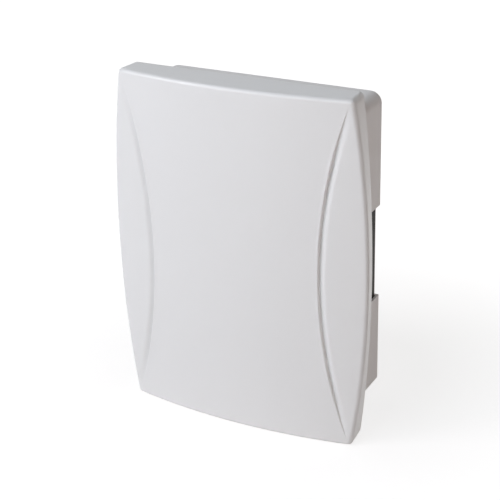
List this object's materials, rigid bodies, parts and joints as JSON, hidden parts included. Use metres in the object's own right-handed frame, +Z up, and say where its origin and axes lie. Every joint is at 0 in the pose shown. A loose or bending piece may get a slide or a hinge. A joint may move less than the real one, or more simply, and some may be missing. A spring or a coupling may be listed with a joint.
{
  "type": "doorbell chime box",
  "caption": "White moulded wall door chime with a bowed cover, curved creases, tone bars in side openings and two solenoid plungers that strike them.",
  "frame": {"origin": "on the wall, in the middle of the chime's width and level with the middle of its cover", "axes": "+Y points into the wall, +Z is up and +X is to the right as one faces the chime"},
  "size_m": [0.1468, 0.0514, 0.191],
  "materials": {
    "white_cover": "white moulded plastic, satin gloss",
    "white_box": "white moulded plastic, satin gloss",
    "black_bar": "steel, black paint, satin",
    "rubber": "soft black rubber",
    "zinc_steel": "zinc plated steel",
    "bobbin_nylon": "natural nylon",
    "copper_wire": "enamelled copper wire, wound",
    "yellow_tape": "thin amber tape",
    "core_steel": "plain turned steel",
    "striker_nylon": "white nylon, slightly translucent",
    "spring_steel": "bright spring wire",
    "felt": "grey felt",
    "block_nylon": "moulded nylon, matt",
    "brass_plate": "stamped brass",
    "lead_red": "soft insulated lead",
    "lead_white": "soft insulated lead"
  },
  "bodies": {
    "base": {"back_box": "white_box", "front_bobbin": "bobbin_nylon", "front_coil": "copper_wire", "front_coil_tape": "yellow_tape", "front_lead": "lead_red", "front_spring": "spring_steel", "front_trans_lead": "lead_white", "front_yoke": "zinc_steel", "high_lower_sleeve": "rubber", "high_tone_bar": "black_bar", "high_upper_sleeve": "rubber", "low_lower_sleeve": "rubber", "low_tone_bar": "black_bar", "low_upper_sleeve": "rubber", "rear_bobbin": "bobbin_nylon", "rear_coil": "copper_wire", "rear_coil_tape": "yellow_tape", "rear_lead": "lead_red", "rear_spring": "spring_steel", "rear_stop_pad": "felt", "rear_trans_lead": "lead_white", "rear_yoke": "zinc_steel", "self_tapping_screws": "zinc_steel", "terminal_block": "block_nylon", "terminal_plates": "brass_plate", "terminal_screws": "zinc_steel"},
    "cover": {"front_cover": "white_cover"},
    "front_plunger": {"front_plunger_core": "core_steel", "front_left_striker": "striker_nylon", "front_right_striker": "striker_nylon"},
    "rear_plunger": {"rear_plunger_core": "core_steel", "rear_left_striker": "striker_nylon", "rear_right_striker": "striker_nylon"}
  },
  "joints": [
    {"name": "cover_pull", "type": "slide", "parent": "base", "child": "cover", "axis": [0, -1, 0], "range_m": [0, 0.045]},
    {"name": "front_plunger_slide", "type": "slide", "parent": "base", "child": "front_plunger", "axis": [1, 0, 0], "range_m": [-0.0027, 0.0087], "stiffness_N_per_m": 25, "deforming": ["front_spring"]},
    {"name": "rear_plunger_slide", "type": "slide", "parent": "base", "child": "rear_plunger", "axis": [1, 0, 0], "range_m": [0, 0.0087], "stiffness_N_per_m": 25, "deforming": ["rear_spring"]}
  ]
}
